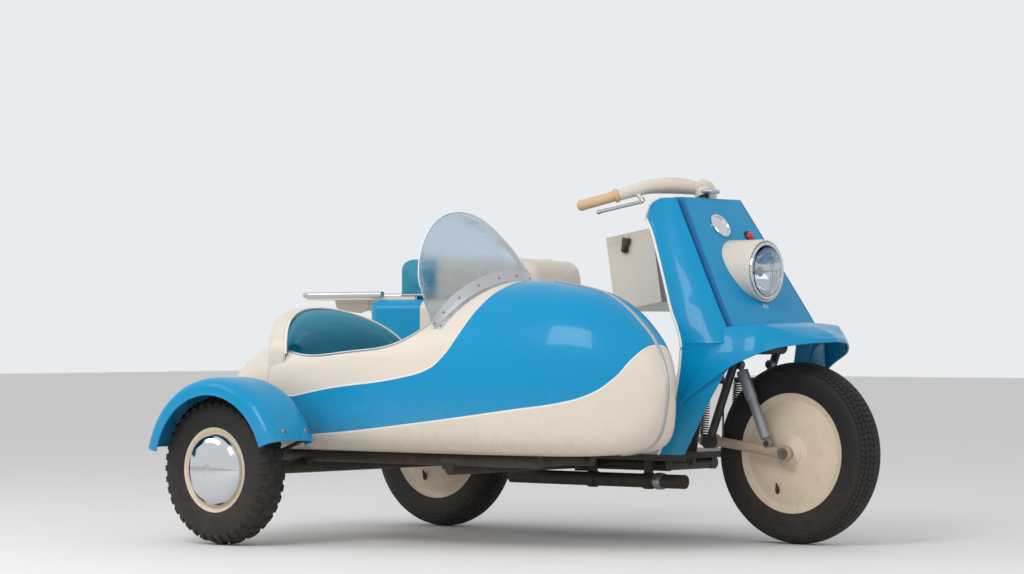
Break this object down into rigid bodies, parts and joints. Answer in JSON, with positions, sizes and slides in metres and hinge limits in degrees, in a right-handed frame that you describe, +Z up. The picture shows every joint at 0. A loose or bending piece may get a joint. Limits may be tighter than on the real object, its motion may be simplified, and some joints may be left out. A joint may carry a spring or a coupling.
{
  "type": "motor scooter with sidecar",
  "caption": "Motor scooter with leg shield, fixed beak fender and leading-link fork, and a bullet sidecar on a tube frame bolted to its right side. It rolls and steers; seat and box open.",
  "frame": {"origin": "middle of the outfit's box, at road level", "axes": "+X forward, +Y to the rider's left, +Z up"},
  "size_m": [2.034, 1.441, 1.0259],
  "materials": {
    "blue_paint": "gloss",
    "cream_paint": "gloss",
    "black_paint": "satin",
    "bright_steel": "satin",
    "bright_alloy": "polished",
    "chrome": "polished",
    "tyre_rubber": "matte",
    "teal_vinyl": "satin",
    "grip_rubber": "satin",
    "lamp_glass": "clear",
    "red_glass": "clear",
    "perspex": "clear"
  },
  "bodies": {
    "chassis": {"frame": "black_paint", "floor_pan": "black_paint", "apron": "blue_paint", "headlamp_shell": "cream_paint", "headlamp_rim": "chrome", "headlamp_lens": "lamp_glass", "glove_box": "cream_paint", "engine": "bright_steel", "exhaust": "black_paint", "rear_body": "blue_paint", "side_cowl": "cream_paint", "luggage_rack": "cream_paint", "tail_lamp": "red_glass", "swing_arm": "black_paint", "rear_shocks": "bright_steel", "rear_axle": "bright_steel", "sidecar_frame": "black_paint", "sidecar_axle": "bright_steel", "sidecar_body": "blue_paint", "sidecar_tail": "cream_paint", "sidecar_arch": "cream_paint", "sidecar_seat_back": "teal_vinyl", "sidecar_seat": "teal_vinyl", "windscreen": "perspex", "windscreen_strip": "bright_alloy", "nose_strip": "bright_alloy", "sidecar_fender": "blue_paint", "fender_stay": "black_paint"},
    "steering": {"fork": "black_paint", "link_arms": "bright_steel", "dampers": "bright_alloy", "fork_springs": "black_paint", "front_axle": "bright_steel", "handlebar": "cream_paint", "grips": "grip_rubber", "brake_lever": "bright_alloy"},
    "front_roller": {"front_tyre": "tyre_rubber", "front_wheel": "cream_paint"},
    "rear_roller": {"rear_tyre": "tyre_rubber", "rear_wheel": "cream_paint"},
    "sidecar_roller": {"sidecar_tyre": "tyre_rubber", "sidecar_wheel": "cream_paint", "sidecar_hubcap": "chrome"},
    "seat_flap": {"seat": "teal_vinyl"},
    "glove_flap": {"glove_lid": "cream_paint"}
  },
  "joints": [
    {"name": "steer", "type": "hinge", "parent": "chassis", "child": "steering", "pos_m": [0.43031, 0.4155, 0.99], "axis": [-0.4067, 0, 0.9135], "range_deg": [-36, 36]},
    {"name": "front_spin", "type": "hinge", "parent": "steering", "child": "front_roller", "pos_m": [0.763, 0.4155, 0.254], "axis": [0, 1, 0], "continuous": true},
    {"name": "rear_spin", "type": "hinge", "parent": "chassis", "child": "rear_roller", "pos_m": [-0.545, 0.4155, 0.254], "axis": [0, 1, 0], "continuous": true},
    {"name": "sidecar_spin", "type": "hinge", "parent": "chassis", "child": "sidecar_roller", "pos_m": [-0.458, -0.6275, 0.209], "axis": [0, 1, 0], "continuous": true},
    {"name": "seat_hinge", "type": "hinge", "parent": "chassis", "child": "seat_flap", "pos_m": [-0.027, 0.4155, 0.701], "axis": [0, 1, 0], "range_deg": [0, 75]},
    {"name": "lid_hinge", "type": "hinge", "parent": "chassis", "child": "glove_flap", "pos_m": [0.18313, 0.5535, 0.84425], "axis": [-0.9877, 0, -0.1564], "range_deg": [0, 85]}
  ]
}
